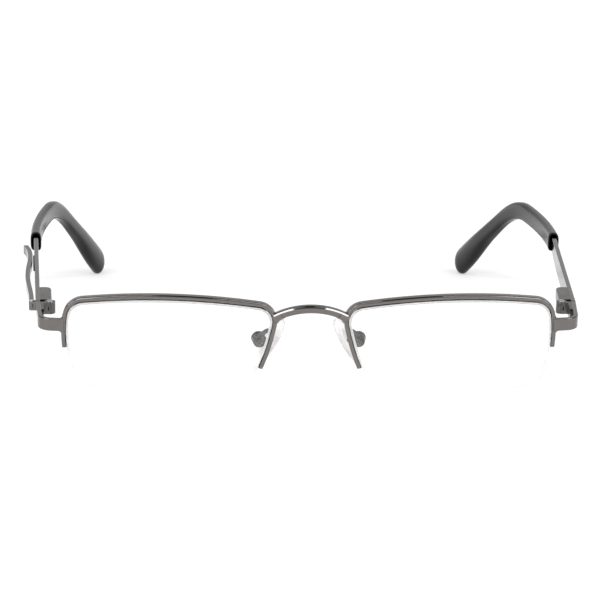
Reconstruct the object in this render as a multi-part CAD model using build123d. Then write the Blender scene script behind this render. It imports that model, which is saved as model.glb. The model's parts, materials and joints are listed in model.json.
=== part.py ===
from build123d import *
import math
import os

# Half-rim eyeglasses standing open on a table. Millimetres.
# Everything is drawn as worn, with the temples level: X to the wearer's left, Y back towards the
# ears, Z up, and Z 0 through the lens centres. The last section leans the finished pieces until
# the lenses and the temple tips stand on Z 0, and puts the origin under the middle.
# The side at +X is drawn and the other one is its mirror image, apart from the pocket clip.

# Lenses
lens_width = 48.7
lens_height = 24.3
lens_spacing = 18.6
lens_radius = 120.0
lens_thickness = 1.9
wrap_angle = 3.8
lens_corner_shares = {
    "top nasal": (-1.021, 0.769),
    "top temporal": (0.979, 0.814),
    "bottom temporal": (0.919, -0.806),
    "bottom nasal": (-0.743, -0.915),
}
top_bow = 2.48
temporal_bow = 1.45
bottom_bow = 1.64
nasal_bow = 1.08
top_nasal_radius = 3.9
top_temporal_radius = 4.4
bottom_temporal_radius = 4.9
bottom_nasal_radius = 6.6
groove_depth = 0.62
groove_width = 0.72

# Rim wires, and the nylon that holds the lenses
rim_clearance = 0.05
rim_thickness = 1.12
rim_depth = 2.0
rim_front_round = 0.42
rim_back_round = 0.3
channel_depth = 0.45
rim_nasal_end_angle = 193.3
rim_temporal_end_angle = -2.4
cord_size = 0.58
cord_round = 0.2
cord_tuck_angle = 7.0
liner_gap_angle = 1.0
nylon_clearance = 0.03

# Bridge
bridge_height = 1.8
bridge_depth = 2.1
bridge_round = 0.6
bridge_end_z = 7.1
bridge_rise = 2.9
bridge_forward = 1.9

# Nose pads
pad_length = 14.0
pad_width = 7.4
pad_thickness = 1.9
pad_round = 0.8
pad_inset = 0.4
pad_y = 9.0
pad_z = -1.7
pad_lean_angle = 32.0
pad_splay_angle = 15.0
pad_axis_offset = 2.85
tab_thickness = 1.1
tab_radius = 1.15
tab_clearance = 0.06
core_length = 8.0
core_width = 3.6
core_thickness = 0.6
core_clearance = 0.04
pad_box_radius = 1.7
pad_box_length = 2.0
pad_screw_radius = 0.42
pad_screw_head_radius = 0.8
pad_screw_head_height = 0.4
pad_slot_width = 0.25
pad_slot_depth = 0.2
arm_radius = 0.55
arm_root_inset = 0.25
arm_root_z = 1.6
arm_reach = 4.2
arm_bend_rise = 1.4
arm_bend_radius = 1.5
arm_end_setback = 0.9

# End pieces
strip_height = 3.1
strip_thickness = 1.1
strip_round = 0.22
strip_top_z = 6.15
strip_root_inset = 1.2
root_offset = -0.5
corner_reach = 6.1
corner_setback = 0.9
corner_radius = 3.0
leg_lean = 0.9

# Hinges
leg_length = 11.8
hinge_inset = 2.9
knuckle_radius = 1.3
knuckle_height = 0.92
slider_height = 0.96
knuckle_clearance = 0.03
butt_gap = 0.4
plate_length = 5.4
plate_relief = 0.1
hinge_screw_radius = 0.55
hinge_screw_head_radius = 0.85
hinge_screw_head_height = 0.35
hinge_slot_width = 0.28
hinge_slot_depth = 0.18
screw_clearance = 0.05
splay_angle = 2.0

# Spring housings
housing_width = 2.8
housing_length = 9.2
housing_height = 2.8
housing_setback = 1.5
housing_corner_radius = 1.5
housing_round = 0.3
bore_radius = 0.98
bore_end_wall = 0.8
tail_radius = 0.42
tail_clearance = 0.06
nut_radius = 0.88
nut_length = 0.8
spring_travel = 1.2
spring_wire_radius = 0.14
spring_turns = 8
stop_length = 0.9

# Temples
bar_thickness = 1.1
bar_round = 0.22
bar_length = 49.3
bar_height_shares = [(0.0, 0.62), (0.22, 0.86), (0.48, 1.0), (0.74, 0.92), (1.0, 0.7)]
bar_height = 5.0
bar_inset = 4.0
temple_sections = 16
core_wire_height = 1.7
core_wire_thickness = 1.0
core_wire_end_share = 0.84
socket_clearance = 0.14

# Temple tips
tip_lead = 45.1
tip_decline_angle = 5.6
tip_drop_angle = 44.1
tip_bend_radius = 30.7
tip_drop = 39.7
tip_inward_radius = 168.0
tip_inward_length = 53.8
tip_mouth_rise = 0.2
tip_mouth_thickness = 2.75
tip_mouth_height = 4.7
tip_thickness = 4.4
tip_width = 7.7
tip_end_length = 4.0
tip_swell_start_share = 0.62
tip_swell_end_share = 1.0
mouth_fullness = 1.0
dome_step = 0.02

# Pocket clip, on the wearer's right temple only
clip_start = 1.0
clip_length = 42.0
clip_thickness = 1.1
clip_height = 2.2
clip_top_drop = 0.6
clip_round = 0.2
clip_stand_off = 0.12
clip_plan_shares = [(0.0, 0.0), (0.12, 0.06), (0.4, 0.7), (0.6, 0.5), (0.8, 0.0), (1.0, 1.0)]
clip_bow = 1.1
clip_eye_radius = 0.75
clip_neck_length = 2.0
clip_neck_lap = 0.5
clip_pin_radius = 0.35
clip_pin_head_radius = 0.6
clip_pin_head_height = 0.25
ear_thickness = 0.5
ear_clearance = 0.03
clip_pad_length = 7.5
clip_pad_place_share = 0.74
clip_pad_thickness = 0.3
clip_pad_height = 1.6

# Shared small values
overrun = 5.0
far = 60.0
sector_step_angle = 30
oval_steps = 24
steepest_lean_angle = 20
lean_rounds = 8
level_error = 0.0005


def grown_arc(arc, grow):
    # The same stretch of arc about the same centre, with a radius that much larger.
    share = (arc.radius + grow) / arc.radius
    places = (arc @ 0, arc @ 0.5, arc @ 1)
    return ThreePointArc(*[arc.arc_center + (place - arc.arc_center) * share for place in places])


def lens_edge(grow):
    # The lens outline seen from the front, grown all round: four bowed sides with rounded corners.
    names = list(lens_corner_shares)
    half_width, half_height = lens_width / 2, lens_height / 2
    corners = [
        Vector(lens_corner_shares[name][0] * half_width, lens_corner_shares[name][1] * half_height)
        for name in names
    ]
    bows = [top_bow, temporal_bow, bottom_bow, nasal_bow]
    radii = [top_nasal_radius, top_temporal_radius, bottom_temporal_radius, bottom_nasal_radius]
    sides = []
    for place, bow in enumerate(bows):
        start, end = corners[place], corners[(place + 1) % len(corners)]
        middle = (start + end) / 2
        outward = (end - start).normalized().rotate(Axis.Z, 90)
        sides.append(ThreePointArc(start, middle + outward * bow, end))
    face = make_face(sides)
    for corner, radius in zip(corners, radii):
        nearest = min(face.vertices(), key=lambda vertex: (Vector(vertex) - corner).length)
        face = fillet(nearest, radius)
    return make_face([grown_arc(arc, grow) for arc in face.edges()])


upright = (Align.CENTER, Align.CENTER, Align.MIN)


def prism(face):
    # The outline carried straight through the lens, front to back.
    return extrude(Plane.XZ * face, far / 2, both=True)


def lens_shell(front, back):
    # What lies between two depths behind the lens's front surface, all over the sphere.
    outer = Sphere(lens_radius - front)
    inner = Sphere(lens_radius - back)
    return Pos(0, lens_radius, 0) * (outer - inner)


def lens_band(inside, outside, front, back):
    # A band that follows the lens edge, from one growth of the outline to another and between two
    # depths behind the lens's front surface.
    ring = prism(lens_edge(outside)) - prism(lens_edge(inside))
    return ring & lens_shell(front, back)


def round_band(band, front_round, back_round):
    spheres = band.faces().filter_by(GeomType.SPHERE).sort_by(lambda face: face.center().Y)
    band = fillet(spheres[-1].edges(), back_round)
    front = band.faces().filter_by(GeomType.SPHERE).sort_by(lambda face: face.center().Y)[0]
    return fillet(front.edges(), front_round)


def sector(start_angle, end_angle):
    # A wedge about the lens centre, through the whole depth, for cutting bands to length.
    span = end_angle - start_angle
    steps = 1 + int(abs(span) // sector_step_angle)
    rays = [math.radians(start_angle + span * step / steps) for step in range(steps + 1)]
    points = [(0, 0)] + [(far * math.cos(ray), far * math.sin(ray)) for ray in rays]
    return prism(make_face(Polyline(*points, close=True)))


nasal_x = lens_spacing / 2
temporal_x = nasal_x + lens_width
lens_place = Pos((nasal_x + temporal_x) / 2, 0, 0) * Rot(0, 0, wrap_angle)
rim_outside = rim_clearance + rim_thickness
middle_depth = lens_thickness / 2
open_angles = (rim_temporal_end_angle, rim_nasal_end_angle - 360)


def make_lens():
    groove = lens_band(
        -groove_depth, overrun, middle_depth - groove_width / 2, middle_depth + groove_width / 2
    )
    return (prism(lens_edge(0)) & lens_shell(0, lens_thickness)) - groove


def make_rim():
    band = lens_band(
        rim_clearance, rim_outside, middle_depth - rim_depth / 2, middle_depth + rim_depth / 2
    )
    band = round_band(band, rim_front_round, rim_back_round)
    channel = lens_band(
        -groove_depth,
        rim_clearance + channel_depth,
        middle_depth - groove_width / 2,
        middle_depth + groove_width / 2,
    )
    return band - channel - sector(*open_angles)


def make_cord():
    out = -nylon_clearance
    cord = lens_band(
        out - cord_size, out, middle_depth - cord_size / 2, middle_depth + cord_size / 2
    )
    cord = round_band(cord, cord_round, cord_round)
    return cord & sector(open_angles[0] + cord_tuck_angle, open_angles[1] - cord_tuck_angle)


def make_liner():
    cut = cord_tuck_angle + liner_gap_angle
    half = groove_width / 2 - nylon_clearance
    liner = lens_band(
        -groove_depth + nylon_clearance,
        rim_clearance + channel_depth - nylon_clearance,
        middle_depth - half,
        middle_depth + half,
    )
    return liner - sector(open_angles[0] + cut, open_angles[1] - cut)


def rim_envelope():
    return lens_place * prism(lens_edge(rim_outside))


def rim_middle(x, z):
    # The place on the rim's middle surface at a given X and Z, as worn.
    centre = lens_place * Pos(0, lens_radius, 0)
    reach = lens_radius - middle_depth
    across, up = x - centre.position.X, z - centre.position.Z
    return Vector(x, centre.position.Y - math.sqrt(reach**2 - across**2 - up**2), z)


def swept(section, path, x_dir):
    start = Plane(origin=path @ 0, x_dir=x_dir, z_dir=path % 0)
    return sweep(start * section, path)


# Bridge: a flattened wire on an arch that stands forward of the rims and ends on their sides.
def make_bridge():
    end = rim_middle(nasal_x, bridge_end_z)
    top = Vector(0, end.Y - bridge_forward, bridge_end_z + bridge_rise)
    arch = ThreePointArc((-end.X, end.Y, end.Z), top, end)
    section = RectangleRounded(bridge_depth, bridge_height, bridge_round)
    wire = swept(section, arch, (0, 1, 0))
    envelope = rim_envelope()
    return wire - envelope - mirror(envelope, about=Plane.YZ)


# Nose pads. The pad's long axis leans outwards going down, and its face turns towards the back.
lean = math.radians(pad_lean_angle)
pad_long = Vector(math.sin(lean), 0, -math.cos(lean))
pad_inward = Vector(-math.cos(lean), 0, -math.sin(lean))
pad_face = pad_inward.rotate(Axis((0, 0, 0), pad_long), pad_splay_angle)
pad_centre = Vector(nasal_x + pad_inset, pad_y, pad_z)
pad_plane = Plane(origin=pad_centre, x_dir=pad_long, z_dir=pad_face)
pad_pivot = pad_centre - pad_face * pad_axis_offset
pivot_plane = Plane(origin=pad_pivot, x_dir=pad_long, z_dir=pad_face)


def across_pivot(radius, start, end):
    # A cylinder along the pad's screw, from one place on it to another.
    drum = Cylinder(radius, end - start, align=upright)
    return pivot_plane * Rot(-90, 0, 0) * Pos(0, 0, start) * drum


def make_core(grow):
    # The metal core that the pad is moulded round: a plate, and the stem that leads to its eye.
    oval = Ellipse(core_length / 2 + grow, core_width / 2 + grow)
    plate = extrude(oval, core_thickness / 2 + grow, both=True)
    stem_size = (tab_radius * 2 + grow * 2, tab_thickness + grow * 2, pad_axis_offset)
    stem = Box(*stem_size, align=(Align.CENTER, Align.CENTER, Align.MAX))
    return pad_plane * (plate + stem)


def make_pad_core():
    eye = across_pivot(tab_radius, -tab_thickness / 2, tab_thickness / 2)
    hole = across_pivot(pad_screw_radius + screw_clearance, -overrun, overrun)
    return make_core(0) + eye - hole


def make_pad():
    blank = extrude(Ellipse(pad_length / 2, pad_width / 2), pad_thickness / 2, both=True)
    flats = blank.faces().filter_by(GeomType.PLANE)
    blank = fillet(flats[0].edges() + flats[1].edges(), pad_round)
    return pad_plane * blank - make_core(core_clearance)


def make_pad_arm():
    root = rim_middle(nasal_x + arm_root_inset, arm_root_z)
    start = root + Vector(0, rim_depth / 2 - rim_back_round, 0)
    bend = start + Vector(0, arm_reach, arm_bend_rise)
    end = pad_pivot - pad_face * arm_end_setback
    path = FilletPolyline(start, bend, end, radius=arm_bend_radius)
    wire = swept(Circle(arm_radius), path, (1, 0, 0))
    drum = across_pivot(pad_box_radius, -pad_box_length / 2, pad_box_length / 2)
    slot_half = tab_thickness / 2 + tab_clearance
    slot = pivot_plane * Box(far, slot_half * 2, far, align=upright)
    slot = slot & across_pivot(pad_box_radius + tab_clearance, -slot_half, slot_half)
    slot = slot + across_pivot(tab_radius + tab_clearance * 2, -slot_half, slot_half)
    hole = across_pivot(pad_screw_radius + screw_clearance, -overrun, overrun)
    arm = wire + drum - slot - hole
    arm = arm - lens_place * make_rim()
    return max(arm.solids(), key=lambda solid: solid.volume)


def make_pad_screw():
    half = pad_box_length / 2
    shank = across_pivot(pad_screw_radius, -half, half)
    head = across_pivot(pad_screw_head_radius, half, half + pad_screw_head_height)
    slot = Box(far, pad_slot_depth * 2, pad_slot_width)
    slot = pivot_plane * Pos(0, half + pad_screw_head_height, 0) * slot
    return shank + head - slot


# End pieces: a flat strip from the rim's side, round the corner and back to the hinge.
strip_middle_z = strip_top_z - strip_height / 2
strip_root = rim_middle(temporal_x - strip_root_inset, strip_middle_z) + Vector(0, root_offset, 0)
strip_corner = Vector(temporal_x + corner_reach, strip_root.Y + corner_setback, strip_middle_z)
strip_end_x = strip_corner.X + leg_lean
hinge_x = strip_end_x - hinge_inset
hinge_y = strip_corner.Y + leg_length


def make_end_piece():
    end = Vector(strip_end_x, hinge_y - butt_gap / 2, strip_middle_z)
    path = FilletPolyline(strip_root, strip_corner, end, radius=corner_radius)
    strip = swept(RectangleRounded(strip_thickness, strip_height, strip_round), path, (0, 1, 0))
    return strip - rim_envelope()


# Hinges: two knuckles on a plate inside the end piece, one on the slider between them.
stack_half = slider_height / 2 + knuckle_clearance + knuckle_height
hinge_place = Pos(hinge_x, hinge_y, strip_middle_z)


def make_front_hinge():
    plate_face = knuckle_radius + plate_relief
    leaf_align = (Align.MIN, Align.MAX, Align.CENTER)
    plate = Box(overrun, plate_length, stack_half * 2, align=leaf_align)
    arm = Box(plate_face, knuckle_radius - butt_gap / 2, stack_half * 2, align=leaf_align)
    leaf = Pos(0, -butt_gap / 2, 0) * (arm + Pos(plate_face, 0, 0) * plate)
    middle = Cylinder(knuckle_radius + plate_relief, slider_height + knuckle_clearance * 2)
    hole = Cylinder(hinge_screw_radius + screw_clearance, far)
    head_room = Cylinder(hinge_screw_head_radius + screw_clearance, far, align=upright)
    head_room = Pos(0, 0, stack_half - hinge_screw_head_height / 2) * head_room
    body = Cylinder(knuckle_radius, stack_half * 2) + leaf - middle - hole - head_room
    body = hinge_place * body - make_end_piece()
    return body.solids().sort_by(Axis.X)[0]


def make_hinge_screw():
    top = stack_half + hinge_screw_head_height / 2
    seat = stack_half - hinge_screw_head_height / 2
    shank = Pos(0, 0, -stack_half) * Cylinder(hinge_screw_radius, stack_half + seat, align=upright)
    head = Pos(0, 0, seat) * Cylinder(hinge_screw_head_radius, hinge_screw_head_height, align=upright)
    slot = Pos(0, 0, top) * Box(far, hinge_slot_width, hinge_slot_depth * 2)
    return hinge_place * (shank + head - slot)


# Spring housing, slider, spring and stop, in the temple's own frame: Y along the temple from the
# hinge axis, Z 0 at the middle of the strip.
temple_place = hinge_place * Rot(0, 0, -splay_angle)
bar_outer = strip_end_x + strip_thickness / 2 - hinge_x
bar_inner = bar_outer - bar_thickness
bore_x = bar_inner - housing_width / 2
bore_end = housing_setback + housing_length - bore_end_wall
nut_end = bore_end - tail_clearance * 3


def along_bore(radius, start, end):
    return Pos(bore_x, start, 0) * Rot(-90, 0, 0) * Cylinder(radius, end - start, align=upright)


def make_housing():
    plan = Pos(bore_x, housing_setback + housing_length / 2) * Rectangle(housing_width, housing_length)
    rear_inner = plan.vertices().sort_by(lambda vertex: vertex.Y - vertex.X)[-1]
    plan = fillet(rear_inner, housing_corner_radius)
    block = extrude(plan, housing_height / 2, both=True)
    flats = block.faces().filter_by(Axis.Z)
    inner_edges = [
        edge
        for face in flats
        for edge in face.edges()
        if edge.center().X < bar_inner - housing_round and edge.center().Y > housing_setback + housing_round
    ]
    block = fillet(inner_edges, housing_round)
    return temple_place * (block - along_bore(bore_radius, -overrun, bore_end))


def make_slider():
    eye = Cylinder(knuckle_radius, slider_height)
    neck_size = (bore_x + tail_radius * 2, housing_setback, slider_height)
    neck = Pos(-tail_radius, 0, 0) * Box(*neck_size, align=(Align.MIN, Align.MIN, Align.CENTER))
    tail = along_bore(tail_radius, 0, nut_end)
    nut = along_bore(nut_radius, nut_end - nut_length, nut_end)
    hole = Cylinder(hinge_screw_radius + screw_clearance, far)
    return temple_place * (eye + neck + tail + nut - hole)


def make_stop():
    ring = along_bore(bore_radius - nylon_clearance, housing_setback, housing_setback + stop_length)
    return temple_place * (ring - along_bore(tail_radius + tail_clearance, -overrun, far))


def make_spring():
    coil_radius = bore_radius - nylon_clearance - spring_wire_radius
    start = housing_setback + stop_length + spring_wire_radius + nylon_clearance
    end = nut_end - nut_length - spring_travel - spring_wire_radius - nylon_clearance
    path = Helix(pitch=(end - start) / spring_turns, height=end - start, radius=coil_radius)
    section = Plane(origin=path @ 0, z_dir=path % 0) * Circle(spring_wire_radius)
    coil = sweep(section, path, is_frenet=True)
    return temple_place * Pos(bore_x, start, 0) * Rot(-90, 0, 0) * coil


# Temple tips: a centreline that runs back from the mouth, bends down over the ear and curves inwards,
# told by the distance along it from the mouth.
decline = math.radians(tip_decline_angle)
drop = math.radians(tip_drop_angle)
bend_tangent = tip_bend_radius * math.tan((drop - decline) / 2)
bend_start = tip_lead - bend_tangent
bend_end = bend_start + tip_bend_radius * (drop - decline)
tip_length = bend_end + tip_drop - bend_tangent
mouth_y = bar_length
mouth_z = strip_height / 2 - bar_height * bar_height_shares[-1][1] / 2 + tip_mouth_rise


def tip_side(distance):
    # Y, Z and the downward angle of the centreline in the side view.
    level = min(distance, bend_start)
    y, z, angle = mouth_y + level * math.cos(decline), mouth_z - level * math.sin(decline), decline
    if distance > bend_start:
        turned = (min(distance, bend_end) - bend_start) / tip_bend_radius
        angle = decline + turned
        y += tip_bend_radius * (math.sin(angle) - math.sin(decline))
        z -= tip_bend_radius * (math.cos(decline) - math.cos(angle))
    if distance > bend_end:
        y += (distance - bend_end) * math.cos(angle)
        z -= (distance - bend_end) * math.sin(angle)
    return y, z, angle


def tip_plane(distance):
    # The cross-section's plane: X through the tip's thickness, Y across its width.
    y, z, angle = tip_side(distance)
    curved = min(distance, tip_inward_length)
    inward = curved / tip_inward_radius
    x = (bar_inner + bar_outer) / 2 - curved * inward / 2 - (distance - curved) * math.tan(inward)
    ahead = Vector(-math.sin(inward), math.cos(inward) * math.cos(angle), -math.cos(inward) * math.sin(angle))
    wide = Vector(0, math.sin(angle), math.cos(angle))
    return Plane(origin=(x, y, z), x_dir=wide.cross(ahead), z_dir=ahead)


def ease(share):
    # From 0 to 1 with a level start and end.
    return (1 - math.cos(math.pi * min(max(share, 0), 1))) / 2


def tip_swell(share):
    # How far the tip has grown from the size of its mouth to that of its paddle.
    return ease((share - tip_swell_start_share) / (tip_swell_end_share - tip_swell_start_share))


def tip_section(swell):
    # An oval that is squarer at the mouth.
    across = tip_mouth_thickness + (tip_thickness - tip_mouth_thickness) * swell
    along = tip_mouth_height + (tip_width - tip_mouth_height) * swell
    power = 2 / (2 + mouth_fullness * (1 - swell))
    points = []
    for step in range(oval_steps):
        turn = math.tau * step / oval_steps
        spread, rise = math.cos(turn), math.sin(turn)
        x = math.copysign(abs(spread) ** power, spread) * across / 2
        y = math.copysign(abs(rise) ** power, rise) * along / 2
        points.append((x, y))
    return make_face(Spline(*points, periodic=True))


def tip_spots(end):
    # Evenly spaced distances from the mouth to the given one.
    return [end * step / temple_sections for step in range(temple_sections + 1)]


core_wire_end = tip_length * core_wire_end_share


def core_wire(grow):
    # The flat wire inside the tip.
    section = Rectangle(core_wire_thickness + grow * 2, core_wire_height + grow * 2)
    return loft([tip_plane(spot) * section for spot in tip_spots(core_wire_end)])


def bar_side(grow, end):
    # The bar's outline in the side view: level on top, deeper behind the hinge, slimmer at the tip.
    start = butt_gap / 2
    run = bar_length - start
    top = strip_height / 2
    low = [Vector(start + run * place, top - bar_height * share) for place, share in bar_height_shares]
    under = Spline(*[point + Vector(0, -grow) for point in low])
    mouth = low[-1] + Vector(0, -grow)
    last = Vector(end, mouth.Y)
    lines = [
        under,
        Line(mouth, last),
        Line(last, (end, top + grow)),
        Line((end, top + grow), (start, top + grow)),
        Line((start, top + grow), (start, low[0].Y - grow)),
    ]
    return make_face(lines)


def bar_plate(grow, end):
    plate = extrude(Plane.YZ * bar_side(grow, end), bar_thickness + grow * 2)
    return Pos(bar_inner - grow, 0, 0) * plate


def make_temple():
    bar = bar_plate(0, bar_length + bar_inset)
    long_edges = bar.edges().filter_by(lambda edge: edge.length > bar_length / 2)
    bar = fillet(long_edges, bar_round)
    return temple_place * (bar + core_wire(0))


def make_tip():
    body_end = tip_length - tip_end_length
    sections = [
        tip_plane(spot) * tip_section(tip_swell(spot / body_end)) for spot in tip_spots(body_end)
    ]
    dome_size = (tip_thickness / 2 - dome_step, tip_width / 2 - dome_step, tip_end_length)
    dome = scale(Sphere(1), by=dome_size)
    sleeve = loft(sections) + tip_plane(body_end) * dome
    socket = bar_plate(socket_clearance, bar_length + bar_inset + socket_clearance)
    room = socket_clearance * 2
    end_room = Box(core_wire_thickness + room, core_wire_height + room, room)
    channel = core_wire(socket_clearance) + tip_plane(core_wire_end) * end_room
    return temple_place * (sleeve - socket - channel)


# Pocket clip, drawn on the +X temple and mirrored with it: an eye on a pin between two ears, and a
# strip that bows away from the bar, comes back to it at a rubber pad and flares at its free end.
clip_middle_z = strip_height / 2 - clip_top_drop - clip_height / 2
eye_x = bar_outer + clip_stand_off + clip_eye_radius
eye_y = clip_start + clip_eye_radius
eye_place = Pos(eye_x, eye_y, clip_middle_z)
eye_height = clip_height - ear_thickness * 2 - ear_clearance * 2


def clip_offset(share):
    # How far the strip's inner face stands off the bar at a share of its length.
    for (start, low), (end, high) in zip(clip_plan_shares, clip_plan_shares[1:]):
        if start <= share <= end:
            bow_share = low + (high - low) * ease((share - start) / (end - start))
            return clip_stand_off + clip_pad_thickness + clip_bow * bow_share
    return clip_stand_off


def clip_neck(grow):
    # The straight piece between the eye and the strip, as wide as the strip is thick.
    size = (clip_thickness + grow * 2, clip_neck_length, eye_height + grow * 2)
    return Box(*size, align=(Align.CENTER, Align.MIN, Align.CENTER))


def make_clip():
    places = [share for share, _ in clip_plan_shares]
    inner = [Vector(bar_outer + clip_offset(share), eye_y + clip_length * share) for share in places]
    outer = [point + Vector(clip_thickness, 0) for point in inner]
    plan = make_face(
        [
            Spline(*inner),
            Line(inner[-1], outer[-1]),
            Spline(*outer[::-1]),
            Line(outer[0], inner[0]),
        ]
    )
    strip = Pos(0, 0, clip_middle_z) * extrude(plan, clip_height / 2, both=True)
    gap = eye_place * Box(far, (clip_neck_length - clip_neck_lap) * 2, far)
    eye = eye_place * Cylinder(clip_eye_radius, eye_height)
    neck = eye_place * clip_neck(0)
    hole = eye_place * Cylinder(clip_pin_radius + screw_clearance, far)
    return temple_place * ((strip - gap) + eye + neck - hole)


def make_clip_bracket():
    root_size = (eye_x - bar_outer, clip_eye_radius * 2, clip_height)
    root = Box(*root_size, align=(Align.MAX, Align.CENTER, Align.CENTER))
    ears = Cylinder(clip_eye_radius, clip_height) + root
    swing = Cylinder(clip_eye_radius + ear_clearance * 2, eye_height + ear_clearance * 2)
    hole = Cylinder(clip_pin_radius + screw_clearance, far)
    return temple_place * eye_place * (ears - swing - clip_neck(ear_clearance) - hole)


def make_clip_pin():
    shank = Cylinder(clip_pin_radius, clip_height)
    head = Pos(0, 0, clip_height / 2) * Cylinder(clip_pin_head_radius, clip_pin_head_height, align=upright)
    return temple_place * eye_place * (shank + head)


def make_clip_pad():
    middle = eye_y + clip_length * clip_pad_place_share
    pad_size = (clip_pad_thickness, clip_pad_length, clip_pad_height)
    pad = Box(*pad_size, align=(Align.MIN, Align.CENTER, Align.CENTER))
    return temple_place * Pos(bar_outer, middle, clip_middle_z) * pad


# The pieces of one side, and those that the glasses have once.
def side_pieces():
    return {
        "lens": lens_place * make_lens(),
        "rim_wire": lens_place * make_rim(),
        "nylon_cord": lens_place * make_cord(),
        "rim_liner": lens_place * make_liner(),
        "nose_pad": make_pad(),
        "pad_core": make_pad_core(),
        "pad_arm": make_pad_arm(),
        "pad_screw": make_pad_screw(),
        "end_piece": make_end_piece(),
        "front_hinge": make_front_hinge(),
        "hinge_screw": make_hinge_screw(),
        "spring_housing": make_housing(),
        "hinge_slider": make_slider(),
        "spring_stop": make_stop(),
        "hinge_spring": make_spring(),
        "temple": make_temple(),
        "temple_tip": make_tip(),
    }


def all_pieces():
    pieces = {"bridge": make_bridge()}
    for name, piece in side_pieces().items():
        pieces["left_" + name] = piece
        pieces["right_" + name] = mirror(piece, about=Plane.YZ)
    for name, piece in {
        "pocket_clip": make_clip(),
        "clip_bracket": make_clip_bracket(),
        "clip_pin": make_clip_pin(),
        "clip_pad": make_clip_pad(),
    }.items():
        pieces[name] = mirror(piece, about=Plane.YZ)
    return pieces


def standing_lean(pieces):
    # The angle at which the lowest points of a lens and of a temple tip are level.
    def height_gap(angle):
        turned = [Rot(angle, 0, 0) * pieces[name] for name in ("left_lens", "left_temple_tip")]
        return turned[0].bounding_box().min.Z - turned[1].bounding_box().min.Z

    low, high = 0.0, steepest_lean_angle
    low_gap, high_gap = height_gap(low), height_gap(high)
    for _ in range(lean_rounds):
        guess = low - low_gap * (high - low) / (high_gap - low_gap)
        gap = height_gap(guess)
        if gap > 0:
            low, low_gap = guess, gap
        else:
            high, high_gap = guess, gap
        if abs(gap) < level_error:
            break
    return guess


pieces = all_pieces()
lean_angle = standing_lean(pieces)
leant = {name: Rot(lean_angle, 0, 0) * piece for name, piece in pieces.items()}
whole = Compound(children=[Compound(piece.solids()) for piece in leant.values()])
box = whole.bounding_box()
stand = Pos(0, -(box.min.Y + box.max.Y) / 2, -box.min.Z) * Rot(lean_angle, 0, 0)

os.makedirs("parts", exist_ok=True)
for name, piece in pieces.items():
    solids = (stand * piece).solids()
    shape = solids[0] if len(solids) == 1 else Compound(solids)
    shape.label = name
    export_step(shape, f"parts/{name}.step")
print("lean", round(lean_angle, 3), "nodes", len(pieces))
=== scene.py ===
import json
import math

import bmesh
import bpy
from mathutils import Matrix, Vector


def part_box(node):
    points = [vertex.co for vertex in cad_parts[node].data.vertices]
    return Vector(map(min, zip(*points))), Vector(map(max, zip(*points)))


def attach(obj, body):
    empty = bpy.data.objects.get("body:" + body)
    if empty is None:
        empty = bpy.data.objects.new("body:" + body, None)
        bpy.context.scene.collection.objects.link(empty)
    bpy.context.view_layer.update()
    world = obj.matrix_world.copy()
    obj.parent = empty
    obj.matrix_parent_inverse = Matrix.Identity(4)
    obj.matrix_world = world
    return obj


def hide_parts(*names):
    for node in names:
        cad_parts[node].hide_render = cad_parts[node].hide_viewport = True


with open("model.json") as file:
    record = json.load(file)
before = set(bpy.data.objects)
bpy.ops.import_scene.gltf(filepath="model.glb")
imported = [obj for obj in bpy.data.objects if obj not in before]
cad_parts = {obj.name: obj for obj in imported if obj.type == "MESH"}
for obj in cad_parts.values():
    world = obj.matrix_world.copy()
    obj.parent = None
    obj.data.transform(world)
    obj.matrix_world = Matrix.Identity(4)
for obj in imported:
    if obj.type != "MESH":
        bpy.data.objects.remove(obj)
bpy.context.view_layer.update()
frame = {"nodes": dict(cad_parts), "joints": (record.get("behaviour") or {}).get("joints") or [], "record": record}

nodes = frame["nodes"]
joints = {joint["name"]: joint for joint in frame["joints"]}
millimetre = 0.001

# Lengths are in millimetres, apart from the shaders' and the studio's, which are in metres.
# Places are given for the wearer's left side, and the right side mirrors them.

# Camera, set to the photograph's view
cameraSettings = {
    "target": (-2.54, -68.24, 23.55),
    "azimuth": -3.43,
    "elevation": 12.88,
    "roll": 0.76,
    "distance": 734.4,
    "focalLength": 185.44,
    "sensorWidth": 36.0,
    "clip": (50.0, 20000.0),
}


def placeCamera(settings):
    azimuth = math.radians(settings["azimuth"])
    elevation = math.radians(settings["elevation"])
    roll = math.radians(settings["roll"])
    level = math.cos(elevation)
    back = Vector((math.sin(azimuth) * level, -math.cos(azimuth) * level, math.sin(elevation)))
    right = (-back).cross(Vector((0, 0, 1))).normalized()
    up = back.cross(right)
    rolledRight = right * math.cos(roll) + up * math.sin(roll)
    rolledUp = up * math.cos(roll) - right * math.sin(roll)
    camera = bpy.data.objects.new("photoCamera", bpy.data.cameras.new("photoCamera"))
    camera.data.lens = settings["focalLength"]
    camera.data.sensor_width = settings["sensorWidth"]
    nearest, farthest = settings["clip"]
    camera.data.clip_start = nearest * millimetre
    camera.data.clip_end = farthest * millimetre
    turned = Matrix((rolledRight, rolledUp, back)).transposed().to_4x4()
    place = Vector(settings["target"]) + back * settings["distance"]
    camera.matrix_world = Matrix.Translation(place * millimetre) @ turned
    bpy.context.scene.collection.objects.link(camera)
    bpy.context.scene.camera = camera


placeCamera(cameraSettings)
bpy.context.scene.view_settings.view_transform = "Standard"
print("camera placed")


# Shader helpers
def addNode(tree, kind, place=(0, 0), **settings):
    node = tree.nodes.new(kind)
    node.location = place
    for name, value in settings.items():
        setattr(node, name, value)
    return node


def join(tree, source, target):
    tree.links.new(source, target)


def feed(tree, socket, value):
    # A socket takes another node's output, or else a plain value
    if isinstance(value, bpy.types.NodeSocket):
        join(tree, value, socket)
    else:
        socket.default_value = value


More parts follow.
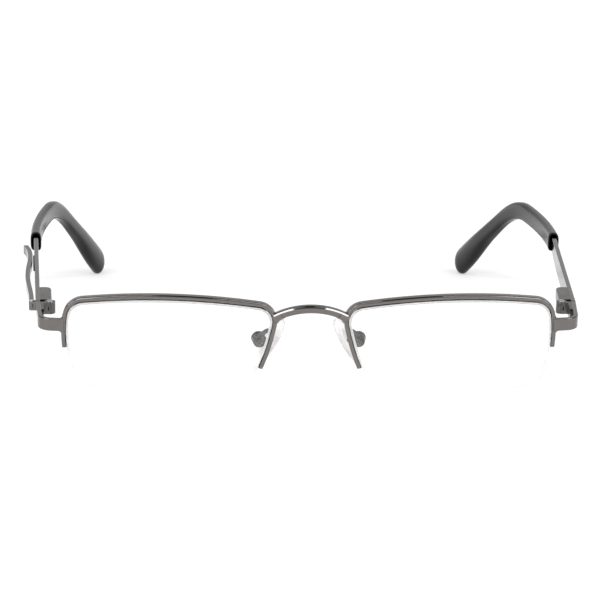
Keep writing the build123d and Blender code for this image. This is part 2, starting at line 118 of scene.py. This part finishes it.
def addMath(tree, operation, *values, place=(0, 0), clamp=False):
    node = addNode(tree, "ShaderNodeMath", place, operation=operation, use_clamp=clamp)
    for socket, value in zip(node.inputs, values):
        feed(tree, socket, value)
    return node.outputs[0]


def addNoise(tree, vector, scale, detail, roughness, place=(0, 0)):
    node = addNode(tree, "ShaderNodeTexNoise", place)
    join(tree, vector, node.inputs["Vector"])
    feed(tree, node.inputs["Scale"], scale)
    node.inputs["Detail"].default_value = detail
    node.inputs["Roughness"].default_value = roughness
    return node.outputs["Fac"]


def addRange(tree, value, source, target, place=(0, 0), smooth=False):
    node = addNode(tree, "ShaderNodeMapRange", place)
    if smooth:
        node.interpolation_type = "SMOOTHSTEP"
    feed(tree, node.inputs["Value"], value)
    names = ("From Min", "From Max", "To Min", "To Max")
    for name, limit in zip(names, (*source, *target)):
        feed(tree, node.inputs[name], limit)
    return node.outputs["Result"]


def startGroup(name, inputs, outputs):
    group = bpy.data.node_groups.new(name, "ShaderNodeTree")
    for socketName, kind, value in inputs:
        socket = group.interface.new_socket(socketName, in_out="INPUT", socket_type=kind)
        socket.default_value = value
    for socketName in outputs:
        group.interface.new_socket(socketName, in_out="OUTPUT", socket_type="NodeSocketFloat")
    given = addNode(group, "NodeGroupInput", (-900, 0))
    return group, given, addNode(group, "NodeGroupOutput", (600, 0))


# Surface grain: fine streaks over broad soft patches, which break up a finished surface
grainNoise = {
    "fineDetail": 3.0,
    "fineRoughness": 0.55,
    "broadDetail": 2.0,
    "broadRoughness": 0.5,
    "sumReach": (0.7, 1.3),
}


def makeSurfaceGrain(noise):
    group, given, put = startGroup(
        "surfaceGrain",
        [
            ("Scale", "NodeSocketFloat", 900.0),
            ("Stretch", "NodeSocketVector", (1.0, 1.0, 1.0)),
            ("Patch Scale", "NodeSocketFloat", 160.0),
            ("Smooth", "NodeSocketFloat", 0.2),
            ("Rough", "NodeSocketFloat", 0.35),
        ],
        ["Roughness", "Height", "Patches"],
    )
    place = addNode(group, "ShaderNodeTexCoord", (-900, 300)).outputs["Object"]
    stretched = addNode(group, "ShaderNodeVectorMath", (-700, 200), operation="MULTIPLY")
    join(group, place, stretched.inputs[0])
    join(group, given.outputs["Stretch"], stretched.inputs[1])
    fineKind = (noise["fineDetail"], noise["fineRoughness"])
    broadKind = (noise["broadDetail"], noise["broadRoughness"])
    fineScale, broadScale = given.outputs["Scale"], given.outputs["Patch Scale"]
    fine = addNoise(group, stretched.outputs[0], fineScale, *fineKind, (-500, 200))
    broad = addNoise(group, place, broadScale, *broadKind, (-500, -100))
    mixed = addMath(group, "ADD", fine, broad, place=(-250, 100))
    limits = (given.outputs["Smooth"], given.outputs["Rough"])
    spread = addRange(group, mixed, noise["sumReach"], limits, (0, 100))
    join(group, spread, put.inputs["Roughness"])
    join(group, fine, put.inputs["Height"])
    join(group, broad, put.inputs["Patches"])
    return group


# Edge wear: along an edge that has been rubbed, the rounded normal leaves the true one
edgeWearSamples = 4


def makeEdgeWear():
    group, given, put = startGroup(
        "edgeWear",
        [("Width", "NodeSocketFloat", 0.0002), ("Amount", "NodeSocketFloat", 1.0)],
        ["Mask"],
    )
    rounded = addNode(group, "ShaderNodeBevel", (-700, 100), samples=edgeWearSamples)
    join(group, given.outputs["Width"], rounded.inputs["Radius"])
    true = addNode(group, "ShaderNodeNewGeometry", (-700, -100))
    dot = addNode(group, "ShaderNodeVectorMath", (-450, 0), operation="DOT_PRODUCT")
    join(group, rounded.outputs["Normal"], dot.inputs[0])
    join(group, true.outputs["Normal"], dot.inputs[1])
    away = addMath(group, "SUBTRACT", 1.0, dot.outputs["Value"], place=(-250, 0))
    scaled = addMath(group, "MULTIPLY", away, given.outputs["Amount"], place=(0, 0), clamp=True)
    join(group, scaled, put.inputs["Mask"])
    return group


surfaceGrain = makeSurfaceGrain(grainNoise)
edgeWear = makeEdgeWear()


def startMaterial(name):
    material = bpy.data.materials.new(name)
    material.use_nodes = True
    tree = material.node_tree
    tree.nodes.clear()
    shader = addNode(tree, "ShaderNodeBsdfPrincipled", (200, 0))
    output = addNode(tree, "ShaderNodeOutputMaterial", (700, 0))
    join(tree, shader.outputs["BSDF"], output.inputs["Surface"])
    return material, tree, shader


def placeGroup(tree, group, values):
    node = addNode(tree, "ShaderNodeGroup", (-600, 0), node_tree=group)
    for name, value in values.items():
        node.inputs[name].default_value = value
    return node


def addBump(tree, shader, height, strength, distance):
    bump = addNode(tree, "ShaderNodeBump", (-50, -300))
    bump.inputs["Strength"].default_value = strength
    bump.inputs["Distance"].default_value = distance
    join(tree, height, bump.inputs["Height"])
    join(tree, bump.outputs["Normal"], shader.inputs["Normal"])


def mixColours(tree, factor, first, second):
    mixed = addNode(tree, "ShaderNodeMix", (-150, 200), data_type="RGBA")
    mixed.inputs["A"].default_value = (*first, 1)
    mixed.inputs["B"].default_value = (*second, 1)
    join(tree, factor, mixed.inputs["Factor"])
    return mixed.outputs["Result"]


# Metals: plated wire and strip, the blasted housings, bare screws and coils
metals = {
    "gunmetal": {
        "colour": (0.168, 0.157, 0.152),
        "wornColour": (0.28, 0.266, 0.26),
        "grain": {"Scale": 2500.0, "Patch Scale": 220.0, "Smooth": 0.08, "Rough": 0.12},
        "wear": {"Width": 0.00012, "Amount": 1.2},
        "bump": 0.05,
    },
    "satinHousing": {
        "colour": (0.2, 0.19, 0.184),
        "wornColour": (0.36, 0.35, 0.34),
        "grain": {
            "Scale": 1200.0,
            "Stretch": (6.0, 0.6, 6.0),
            "Patch Scale": 260.0,
            "Smooth": 0.22,
            "Rough": 0.36,
        },
        "wear": {"Width": 0.00015, "Amount": 1.5},
        "bump": 0.3,
    },
    "darkSteel": {
        "colour": (0.115, 0.109, 0.107),
        "wornColour": (0.3, 0.29, 0.28),
        "grain": {"Scale": 2600.0, "Patch Scale": 500.0, "Smooth": 0.14, "Rough": 0.26},
        "wear": {"Width": 0.00008, "Amount": 1.4},
        "bump": 0.08,
    },
    "paleSteel": {
        "colour": (0.86, 0.86, 0.86),
        "wornColour": (0.9, 0.9, 0.9),
        "grain": {"Scale": 1500.0, "Patch Scale": 400.0, "Smooth": 0.4, "Rough": 0.55},
        "wear": {"Width": 0.00008, "Amount": 1.0},
        "bump": 0.1,
    },
    "brightSteel": {
        "colour": (0.6, 0.6, 0.6),
        "wornColour": (0.75, 0.75, 0.75),
        "grain": {"Scale": 3000.0, "Patch Scale": 500.0, "Smooth": 0.18, "Rough": 0.3},
        "wear": {"Width": 0.0001, "Amount": 1.0},
        "bump": 0.1,
    },
}
metalBumpDistance = 0.00002


def makeMetal(name, look):
    material, tree, shader = startMaterial(name)
    grain = placeGroup(tree, surfaceGrain, look["grain"])
    wear = placeGroup(tree, edgeWear, look["wear"])
    colour = mixColours(tree, wear.outputs["Mask"], look["colour"], look["wornColour"])
    join(tree, colour, shader.inputs["Base Color"])
    join(tree, grain.outputs["Roughness"], shader.inputs["Roughness"])
    shader.inputs["Metallic"].default_value = 1
    addBump(tree, shader, grain.outputs["Height"], look["bump"], metalBumpDistance)
    return material


# Clear pieces: the lenses, the nylon cord and liner, the silicone pads
clears = {
    "clearLens": {
        "colour": (0.99, 0.992, 0.99),
        "transmission": 1.0,
        "ior": 1.5,
        "gloss": 0.35,
        "grain": {"Scale": 200.0, "Smooth": 0.0, "Rough": 0.005},
        "shadowTint": (0.97, 0.97, 0.97),
        "bump": 0.0,
    },
    "clearNylon": {
        "colour": (0.9, 0.9, 0.9),
        "transmission": 0.5,
        "ior": 1.5,
        "gloss": 0.5,
        "grain": {"Scale": 800.0, "Smooth": 0.18, "Rough": 0.26},
        "shadowTint": (0.8, 0.8, 0.8),
        "bump": 0.05,
    },
    "padSilicone": {
        "colour": (0.985, 0.97, 0.972),
        "transmission": 0.55,
        "ior": 1.2,
        "gloss": 0.8,
        "grain": {"Scale": 700.0, "Patch Scale": 300.0, "Smooth": 0.12, "Rough": 0.22},
        "shadowTint": (0.75, 0.73, 0.73),
        "bump": 0.08,
    },
}
clearBumpDistance = 0.00003


def letShadowsThrough(tree, shader, tint):
    # Clear pieces throw hardly any shadow: shadow rays pass with a light tint
    output = shader.outputs["BSDF"].links[0].to_node
    path = addNode(tree, "ShaderNodeLightPath", (200, 400))
    clear = addNode(tree, "ShaderNodeBsdfTransparent", (200, 200))
    clear.inputs["Color"].default_value = (*tint, 1)
    mixed = addNode(tree, "ShaderNodeMixShader", (480, 0))
    join(tree, path.outputs["Is Shadow Ray"], mixed.inputs["Fac"])
    join(tree, shader.outputs["BSDF"], mixed.inputs[1])
    join(tree, clear.outputs["BSDF"], mixed.inputs[2])
    join(tree, mixed.outputs["Shader"], output.inputs["Surface"])


def makeClear(name, look):
    material, tree, shader = startMaterial(name)
    grain = placeGroup(tree, surfaceGrain, look["grain"])
    shader.inputs["Base Color"].default_value = (*look["colour"], 1)
    shader.inputs["Transmission Weight"].default_value = look["transmission"]
    shader.inputs["IOR"].default_value = look["ior"]
    shader.inputs["Specular IOR Level"].default_value = look["gloss"]
    join(tree, grain.outputs["Roughness"], shader.inputs["Roughness"])
    if look["bump"]:
        addBump(tree, shader, grain.outputs["Patches"], look["bump"], clearBumpDistance)
    letShadowsThrough(tree, shader, look["shadowTint"])
    return material


# Black pieces: the polished temple tips and the clip's rubber pad
plastics = {
    "blackTip": {
        "colour": (0.006, 0.006, 0.0065),
        "paleColour": (0.014, 0.014, 0.015),
        "grain": {"Scale": 900.0, "Patch Scale": 180.0, "Smooth": 0.15, "Rough": 0.19},
        "gloss": 0.14,
        "bump": 0.04,
    },
    "blackRubber": {
        "colour": (0.012, 0.012, 0.012),
        "paleColour": (0.022, 0.022, 0.022),
        "grain": {"Scale": 2600.0, "Smooth": 0.6, "Rough": 0.8},
        "gloss": 0.35,
        "bump": 0.6,
    },
}
plasticBumpDistance = 0.00003


def makePlastic(name, look):
    material, tree, shader = startMaterial(name)
    grain = placeGroup(tree, surfaceGrain, look["grain"])
    colour = mixColours(tree, grain.outputs["Patches"], look["colour"], look["paleColour"])
    join(tree, colour, shader.inputs["Base Color"])
    join(tree, grain.outputs["Roughness"], shader.inputs["Roughness"])
    shader.inputs["Specular IOR Level"].default_value = look["gloss"]
    addBump(tree, shader, grain.outputs["Height"], look["bump"], plasticBumpDistance)
    return material


materials = {name: makeMetal(name, look) for name, look in metals.items()}
materials.update({name: makeClear(name, look) for name, look in clears.items()})
materials.update({name: makePlastic(name, look) for name, look in plastics.items()})
print("materials made:", len(materials))

# The record's slots and the materials that stand for them
slotMaterials = {
    "gunmetal": "gunmetal",
    "satin_housing": "satinHousing",
    "bright_steel": "brightSteel",
    "clear_lens": "clearLens",
    "clear_nylon": "clearNylon",
    "pad_silicone": "padSilicone",
    "black_tip": "blackTip",
    "black_rubber": "blackRubber",
}
slotOfNode = {part["node"]: part["material_slot"] for part in frame["record"]["subparts"]}
# Small pieces whose finish differs from the rest of their slot
ownMaterials = {
    "pad_arm": "darkSteel",
    "pad_screw": "darkSteel",
    "pad_core": "paleSteel",
    "hinge_slider": "darkSteel",
    "front_hinge": "darkSteel",
}

for name, piece in nodes.items():
    kind = name.removeprefix("left_").removeprefix("right_")
    material = ownMaterials.get(kind, slotMaterials[slotOfNode[name]])
    piece.data.materials.clear()
    piece.data.materials.append(materials[material])
print("materials given to", len(nodes), "pieces of the frame")


# Mesh pieces are built from rings of points, closed by a point at each end
def makeRingPiece(name, rings, ends, body, slotName, replaced=()):
    mesh = bpy.data.meshes.new(name)
    shape = bmesh.new()
    loops = [[shape.verts.new(point * millimetre) for point in ring] for ring in rings]
    first, last = (shape.verts.new(point * millimetre) for point in ends)
    count = len(rings[0])
    for number in range(count):
        following = (number + 1) % count
        shape.faces.new((first, loops[0][following], loops[0][number]))
        shape.faces.new((last, loops[-1][number], loops[-1][following]))
        for low, high in zip(loops, loops[1:]):
            shape.faces.new((low[number], low[following], high[following], high[number]))
    bmesh.ops.recalc_face_normals(shape, faces=shape.faces)
    for face in shape.faces:
        face.smooth = True
    shape.to_mesh(mesh)
    shape.free()
    mesh.materials.append(materials[slotMaterials[slotName]])
    piece = bpy.data.objects.new(name, mesh)
    bpy.context.scene.collection.objects.link(piece)
    if replaced:
        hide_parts(*replaced)
    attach(piece, body)


def ovalPoint(angle, power):
    # A place on an oval with half sizes of one, squarer as the power rises
    across, up = math.cos(angle), math.sin(angle)
    reach = (abs(across) ** power + abs(up) ** power) ** (-1 / power)
    return across * reach, up * reach


def mirrored(values):
    return Vector((-values[0], values[1], values[2]))


# How the glasses stand: leant back from the way they are worn, and moved onto the table
stand = {"leanAngle": 6.811, "shift": (0.0, -70.514, 12.018)}
leanTurn = Matrix.Rotation(math.radians(stand["leanAngle"]), 3, "X")
standShift = Vector(stand["shift"])


# Nose pads, crowned towards the nose, rolled over at the edge and narrower at the top
nosePad = {
    "length": 14.0,
    "width": 7.4,
    "thickness": 1.9,
    "longAxis": (0.5299, 0.1006, -0.8420),
    "faceAxis": (-0.8192, 0.3177, -0.4776),
    "outlinePower": 2.15,
    "topTaper": 0.08,
    "frontPower": 2.3,
    "backPower": 3.4,
    "rings": 15,
    "segments": 72,
}


def makeNosePad(side, settings):
    low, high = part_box(f"{side}_nose_pad")
    centre = (Vector(low) + Vector(high)) / 2 / millimetre
    along, face = Vector(settings["longAxis"]), Vector(settings["faceAxis"])
    if side == "right":
        along, face = mirrored(along), mirrored(face)
    across = face.cross(along)
    halfThickness = settings["thickness"] / 2
    rings = []
    for ring in range(settings["rings"]):
        tilt = math.pi * ((ring + 1) / (settings["rings"] + 1) - 0.5)
        power = settings["frontPower"] if tilt > 0 else settings["backPower"]
        share, depth = ovalPoint(tilt, power)
        points = []
        for step in range(settings["segments"]):
            angle = math.tau * step / settings["segments"]
            reach, width = ovalPoint(angle, settings["outlinePower"])
            width *= 1 - settings["topTaper"] * (1 - reach) / 2
            reach *= share * settings["length"] / 2
            width *= share * settings["width"] / 2
            points.append(centre + along * reach + across * width + face * depth * halfThickness)
        rings.append(points)
    ends = (centre - face * halfThickness, centre + face * halfThickness)
    pad, body = f"{side}_nose_pad", f"{side}_pad_body"
    makeRingPiece(f"{side}PadSilicone", rings, ends, body, "pad_silicone", [pad])


for side in ("left", "right"):
    makeNosePad(side, nosePad)
print("nose pads made")

# Temple tips: a sleeve with a lipped mouth for the bar, a squarish arm, a waist under the bend and
# a round paddle. Distances run along the tip from its mouth.
templeTip = {
    "mouth": (2.9, 49.3, 0.0),
    "splayAngle": 2.0,
    "lead": 45.1,
    "declineAngle": 5.6,
    "dropAngle": 44.1,
    "bendRadius": 30.7,
    "inwardRadius": 168.0,
    "inwardLength": 53.8,
    "mouthSize": (2.75, 4.7),
    "paddleSize": (4.4, 7.7),
    "domeLength": 3.7,
    "swell": (49.6, 80.0),
    "underSwell": (61.0, 77.5),
    "underExtra": 0.2,
    "squareness": 3.0,
    "cornerSquareness": 4.5,
    "roundness": 2.05,
    "lip": 0.2,
    "lipSteps": (0.25, 0.5, 0.75),
    "wall": 0.42,
    "pocket": 2.2,
    "ringSpacing": 1.25,
    "domeRings": 9,
    "segments": 56,
}


def ease(share):
    return (1 - math.cos(math.pi * min(max(share, 0), 1))) / 2


def easeAlong(distance, limits):
    return ease((distance - limits[0]) / (limits[1] - limits[0]))


def tipSpot(distance, settings):
    # The middle of the tip at a distance, and its inward, upward and onward directions
    decline = math.radians(settings["declineAngle"])
    drop = math.radians(settings["dropAngle"])
    radius = settings["bendRadius"]
    bendStart = settings["lead"] - radius * math.tan((drop - decline) / 2)
    bendEnd = bendStart + radius * (drop - decline)
    level = min(distance, bendStart)
    angle = decline + min(max(distance - bendStart, 0), bendEnd - bendStart) / radius
    past = max(distance - bendEnd, 0)
    startX, startY, startZ = settings["mouth"]
    y = startY + level * math.cos(decline) + past * math.cos(angle)
    y += radius * (math.sin(angle) - math.sin(decline))
    z = startZ - level * math.sin(decline) - past * math.sin(angle)
    z -= radius * (math.cos(decline) - math.cos(angle))
    curved = min(distance, settings["inwardLength"])
    inward = curved / settings["inwardRadius"]
    x = startX - curved * inward / 2 - (distance - curved) * math.tan(inward)
    flat = math.cos(inward)
    onward = Vector((-math.sin(inward), flat * math.cos(angle), -flat * math.sin(angle)))
    upward = Vector((0, math.sin(angle), math.cos(angle)))
    return Vector((x, y, z)), upward.cross(onward), upward, onward


def tipRing(distance, shrink, settings, scale=1.0, shift=0.0):
    centre, inward, upward, onward = tipSpot(distance, settings)
    over = easeAlong(distance, settings["swell"])
    under = easeAlong(distance, settings["underSwell"])
    mouth, paddle = settings["mouthSize"], settings["paddleSize"]
    halfAcross = (mouth[0] + (paddle[0] - mouth[0]) * over) / 2 - shrink
    halfOver = (mouth[1] + (paddle[1] - mouth[1]) * over) / 2 - shrink
    halfUnder = (mouth[1] + (paddle[1] - mouth[1]) * under) / 2 - shrink
    halfUnder += settings["underExtra"] * under * scale
    points = []
    for step in range(settings["segments"]):
        angle = math.tau * step / settings["segments"]
        corner = math.cos(angle) > 0 and math.sin(angle) < 0
        square = settings["cornerSquareness"] if corner else settings["squareness"]
        power = square + (settings["roundness"] - square) * over
        across, up = ovalPoint(angle, power)
        up *= halfOver if up > 0 else halfUnder
        offset = inward * across * halfAcross + upward * up
        points.append(centre + offset * scale + onward * shift)
    return points


def makeTempleTip(side, settings):
    lip, wall = settings["lip"], settings["wall"]
    end = settings["swell"][1]
    rings = [tipRing(settings["pocket"], wall, settings), tipRing(lip, wall, settings)]
    for share in settings["lipSteps"]:
        turn = math.pi * share
        shrink = wall * (1 + math.cos(turn)) / 2
        rings.append(tipRing(lip * (1 - math.sin(turn)), shrink, settings))
    steps = round((end - lip) / settings["ringSpacing"])
    for step in range(steps + 1):
        rings.append(tipRing(lip + (end - lip) * step / steps, 0, settings))
    for step in range(1, settings["domeRings"]):
        turn = math.pi / 2 * step / settings["domeRings"]
        shift = settings["domeLength"] * math.sin(turn)
        rings.append(tipRing(end, 0, settings, math.cos(turn), shift))
    floor = tipSpot(settings["pocket"], settings)[0]
    lastSpot = tipSpot(end, settings)
    top = lastSpot[0] + lastSpot[-1] * settings["domeLength"]
    turned = leanTurn @ Matrix.Rotation(-math.radians(settings["splayAngle"]), 3, "Z")
    hinge = Vector(joints["left_temple_fold"]["pos_m"]) / millimetre

    def placed(point):
        point = hinge + turned @ point
        return mirrored(point) if side == "right" else point

    rings = [[placed(point) for point in ring] for ring in rings]
    tip, body = f"{side}_temple_tip", f"{side}_temple_body"
    makeRingPiece(f"{side}TipSleeve", rings, (placed(floor), placed(top)), body, "black_tip", [tip])


for side in ("left", "right"):
    makeTempleTip(side, templeTip)
print("temple tips made")

# Bridge: a flattened wire on an arch, with a facet ground along its upper front edge.
# It is placed as worn, as the solder is, and the stand leans it back.
bridgeWire = {
    "halfSpan": 9.3,
    "rise": 3.25,
    "endPlace": (2.03, 6.95),
    "forward": 1.9,
    "cutSpan": 8.7,
    "halfDepth": 1.05,
    "halfHeight": 0.95,
    "squareness": 3.6,
    "facetAngle": 34.0,
    "facetReach": 1.1,
    "slopeStep": 0.01,
    "rings": 60,
    "segments": 96,
}


def makeBridge(settings):
    span, rise = settings["halfSpan"], settings["rise"]
    endY, endZ = settings["endPlace"]
    radius = (span * span + rise * rise) / (2 * rise)
    facet = math.radians(settings["facetAngle"])
    forward, over = math.cos(facet), math.sin(facet)

    def onArch(x):
        y = endY - settings["forward"] * (1 - (x / span) ** 2)
        return Vector((x, y, endZ + rise - radius + math.sqrt(radius * radius - x * x)))

    rings = []
    cut, near = settings["cutSpan"], settings["slopeStep"]
    for ring in range(settings["rings"] + 1):
        x = cut * (2 * ring / settings["rings"] - 1)
        along = (onArch(x + near) - onArch(x - near)).normalized()
        depthWay = (Vector((0, 1, 0)) - along * along.y).normalized()
        upward = along.cross(depthWay).normalized()
        points = []
        for step in range(settings["segments"]):
            angle = math.tau * step / settings["segments"]
            depth, up = ovalPoint(angle, settings["squareness"])
            depth, up = depth * settings["halfDepth"], up * settings["halfHeight"]
            past = max(-depth * forward + up * over - settings["facetReach"], 0)
            depth, up = depth + past * forward, up - past * over
            points.append(onArch(x) + depthWay * depth + upward * up)
        rings.append(points)
    rings = [[leanTurn @ point + standShift for point in ring] for ring in rings]
    ends = [leanTurn @ onArch(x) + standShift for x in (-cut, cut)]
    makeRingPiece("bridgeWire", rings, ends, "front", "gunmetal", ["bridge"])


makeBridge(bridgeWire)
print("bridge made")

# Solder that runs up from the rims onto the bridge, the strips and the pad arms
solderJoints = {
    "Bridge": {
        "place": (8.22, 1.57, 7.4),
        "away": (-0.8158, -0.3169, 0.4837),
        "halfSize": (1.05, 0.85),
        "spread": (0.08, 0.5),
        "power": 3.2,
        "reach": 2.2,
        "sink": 0.55,
    },
    "Strip": {
        "place": (59.18, 4.706, 4.55),
        "away": (0.9925, 0.1224, 0.0),
        "halfSize": (0.53, 1.55),
        "spread": (0.1, 0.42),
        "power": 5.0,
        "reach": 0.7,
        "sink": 0.7,
    },
    "PadArm": {
        "place": (9.55, 2.45, 1.58),
        "away": (0.0, 0.9487, 0.3162),
        "halfSize": (0.55, 0.55),
        "spread": (0.3, 0.34),
        "power": 2.0,
        "reach": 0.6,
        "sink": 0.45,
    },
}
solderRings = 14
solderSegments = 48


def makeSolder(name, side, joint):
    place = leanTurn @ Vector(joint["place"]) + standShift
    away = leanTurn @ Vector(joint["away"])
    if side == "right":
        place, away = mirrored(place), mirrored(away)
    if abs(away.y) > abs(away.x):
        depthWay = Vector((1, 0, 0))
    else:
        depthWay = away.cross(Vector((0, 0, 1))).normalized()
    upWay = depthWay.cross(away).normalized()
    rings = []
    for ring in range(solderRings):
        share = (ring + 0.5) / solderRings
        distance = share * (joint["sink"] + joint["reach"]) - joint["sink"]
        if distance > 0:
            rise = 1 - math.sqrt(1 - (1 - distance / joint["reach"]) ** 2)
        else:
            rise = math.sqrt(1 - (distance / joint["sink"]) ** 2)
        points = []
        for step in range(solderSegments):
            across, up = ovalPoint(math.tau * step / solderSegments, joint["power"])
            across *= joint["halfSize"][0] + joint["spread"][0] * rise
            up *= joint["halfSize"][1] + joint["spread"][1] * rise
            points.append(place + away * distance + depthWay * across + upWay * up)
        rings.append(points)
    ends = (place - away * joint["sink"], place + away * joint["reach"])
    makeRingPiece(f"{side}{name}Solder", rings, ends, "front", "gunmetal")


for side in ("left", "right"):
    for name, joint in solderJoints.items():
        makeSolder(name, side, joint)

# Table, background and lights, in metres
studio = {
    "floorSize": 3.0,
    "floorColour": (0.6, 0.6, 0.6),
    "floorRoughness": 0.7,
    "floorGlowNear": 0.47,
    "floorGlowFar": 0.9,
    "floorGlowReach": (0.12, 0.7),
    "fillLight": 0.48,
    "horizonLight": 0.8,
    "zenithLight": 0.07,
    "zenithHeights": (0.42, 0.78),
    "sideShare": 0.6,
    "sideReach": (0.35, 0.95),
    "backgroundLight": 1.0,
    "softboxes": [
        {
            "place": (0.44, -0.38, 0.83),
            "along": (1.0, 0.0, 0.0),
            "size": (0.62, 0.2),
            "power": 2.7,
        },
        {
            "place": (0.71, -0.59, 0.39),
            "along": (0.44, 0.26, -0.41),
            "size": (0.66, 0.2),
            "power": 2.8,
        },
    ],
}


def makeFloor(settings):
    mesh = bpy.data.meshes.new("floor")
    half = settings["floorSize"]
    shape = bmesh.new()
    corners = ((-half, -half, 0), (half, -half, 0), (half, half, 0), (-half, half, 0))
    shape.faces.new([shape.verts.new(corner) for corner in corners])
    shape.to_mesh(mesh)
    shape.free()
    floor = bpy.data.objects.new("floor", mesh)
    bpy.context.scene.collection.objects.link(floor)
    material, tree, shader = startMaterial("floorPaper")
    shader.inputs["Base Color"].default_value = (*settings["floorColour"], 1)
    shader.inputs["Roughness"].default_value = settings["floorRoughness"]
    shader.inputs["Emission Color"].default_value = (1, 1, 1, 1)
    place = addNode(tree, "ShaderNodeTexCoord", (-900, 200)).outputs["Object"]
    length = addNode(tree, "ShaderNodeVectorMath", (-700, 200), operation="LENGTH")
    join(tree, place, length.inputs[0])
    levels = (settings["floorGlowNear"], settings["floorGlowFar"])
    reach = settings["floorGlowReach"]
    glow = addRange(tree, length.outputs["Value"], reach, levels, (-450, 200))
    path = addNode(tree, "ShaderNodeLightPath", (-900, -200)).outputs
    seen = addMath(tree, "MAXIMUM", path["Is Camera Ray"], path["Is Glossy Ray"])
    seen = addMath(tree, "MAXIMUM", seen, path["Is Transmission Ray"])
    join(tree, addMath(tree, "MULTIPLY", seen, glow), shader.inputs["Emission Strength"])
    mesh.materials.append(material)


def makeWorld(settings):
    # Bright all round the horizon and dark overhead, so that rounded metal shows its form
    world = bpy.data.worlds.new("studio")
    bpy.context.scene.world = world
    world.use_nodes = True
    tree = world.node_tree
    tree.nodes.clear()
    way = addNode(tree, "ShaderNodeTexCoord", (-900, 0)).outputs["Generated"]
    parts = addNode(tree, "ShaderNodeSeparateXYZ", (-700, 0))
    join(tree, way, parts.inputs[0])
    levels = (settings["horizonLight"], settings["zenithLight"])
    reach = settings["zenithHeights"]
    height = addRange(tree, parts.outputs["Z"], reach, levels, (-450, 0), True)
    sideways = addMath(tree, "ABSOLUTE", parts.outputs["X"], place=(-700, -250))
    levels, reach = (1.0, settings["sideShare"]), settings["sideReach"]
    sides = addRange(tree, sideways, reach, levels, (-450, -250), True)
    gloss = addMath(tree, "MULTIPLY", height, sides)
    path = addNode(tree, "ShaderNodeLightPath", (-700, 300)).outputs
    soft = path["Is Diffuse Ray"]
    gloss = addMath(tree, "MULTIPLY", gloss, addMath(tree, "SUBTRACT", 1.0, soft))
    fill = addMath(tree, "MULTIPLY", soft, settings["fillLight"])
    lighting = addNode(tree, "ShaderNodeBackground", (0, -100))
    join(tree, addMath(tree, "ADD", gloss, fill), lighting.inputs["Strength"])
    shown = addNode(tree, "ShaderNodeBackground", (0, -300))
    shown.inputs["Strength"].default_value = settings["backgroundLight"]
    for light in (lighting, shown):
        light.inputs["Color"].default_value = (1, 1, 1, 1)
    seen = addMath(tree, "MAXIMUM", path["Is Camera Ray"], path["Is Transmission Ray"])
    mixed = addNode(tree, "ShaderNodeMixShader", (250, 0))
    output = addNode(tree, "ShaderNodeOutputWorld", (500, 0))
    join(tree, seen, mixed.inputs["Fac"])
    join(tree, lighting.outputs["Background"], mixed.inputs[1])
    join(tree, shown.outputs["Background"], mixed.inputs[2])
    join(tree, mixed.outputs["Shader"], output.inputs["Surface"])


def makeSoftbox(name, settings, side):
    lamp = bpy.data.lights.new(name, "AREA")
    lamp.shape = "RECTANGLE"
    lamp.size, lamp.size_y = settings["size"]
    lamp.energy = settings["power"]
    light = bpy.data.objects.new(name, lamp)
    place, along = Vector(settings["place"]), Vector(settings["along"])
    if side == "right":
        place, along = mirrored(place), mirrored(along)
    back = place.normalized()
    along = (along - back * along.dot(back)).normalized()
    turned = Matrix((along, back.cross(along), back)).transposed().to_4x4()
    light.matrix_world = Matrix.Translation(place) @ turned
    bpy.context.scene.collection.objects.link(light)


makeFloor(studio)
makeWorld(studio)
for side in ("left", "right"):
    for number, softbox in enumerate(studio["softboxes"]):
        makeSoftbox(f"{side}Softbox{number}", softbox, side)
print("studio set up")
